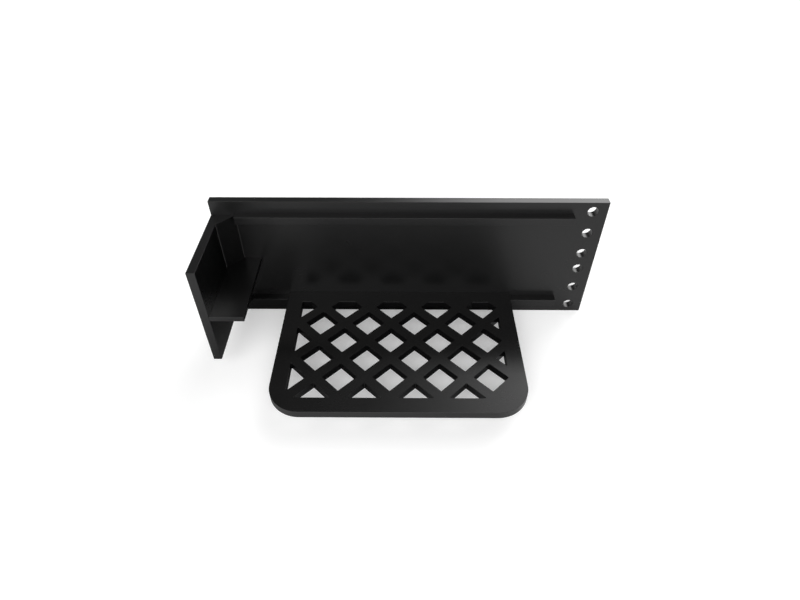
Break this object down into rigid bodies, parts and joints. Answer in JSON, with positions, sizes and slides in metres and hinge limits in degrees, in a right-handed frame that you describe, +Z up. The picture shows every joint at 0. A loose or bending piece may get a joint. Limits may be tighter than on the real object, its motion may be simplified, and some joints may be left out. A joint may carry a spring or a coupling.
{
  "type": "tailgate step",
  "caption": "Black steel step for a tailgate: bolt-on back plate with square rails, a lattice tread with rounded front corners and a shelf bracket at one end.",
  "frame": {"origin": "middle of the back plate's mounting face", "axes": "+X along the back plate from the bracket end to the bolted end, +Y out of the mounting face towards the vehicle, +Z up; the tread stands out towards -Y"},
  "size_m": [0.6096, 0.2651, 0.2248],
  "materials": {
    "plate_coat": "satin black powder coat",
    "tread_coat": "satin black powder coat, lightly polished by use",
    "weld_coat": "satin black powder coat over weld beads"
  },
  "bodies": {
    "root": {"back_plate": "plate_coat", "upper_rail": "plate_coat", "lower_rail": "plate_coat", "end_plate": "plate_coat", "end_shelf": "plate_coat", "upper_gusset": "plate_coat", "lower_gusset": "plate_coat", "tread": "tread_coat", "upper_rail_weld": "weld_coat", "lower_rail_weld": "weld_coat", "tread_weld": "weld_coat", "end_plate_seam": "weld_coat", "shelf_side_weld": "weld_coat", "shelf_rear_weld": "weld_coat", "gusset_welds": "weld_coat", "bracket_foot_weld": "weld_coat"}
  },
  "joints": []
}
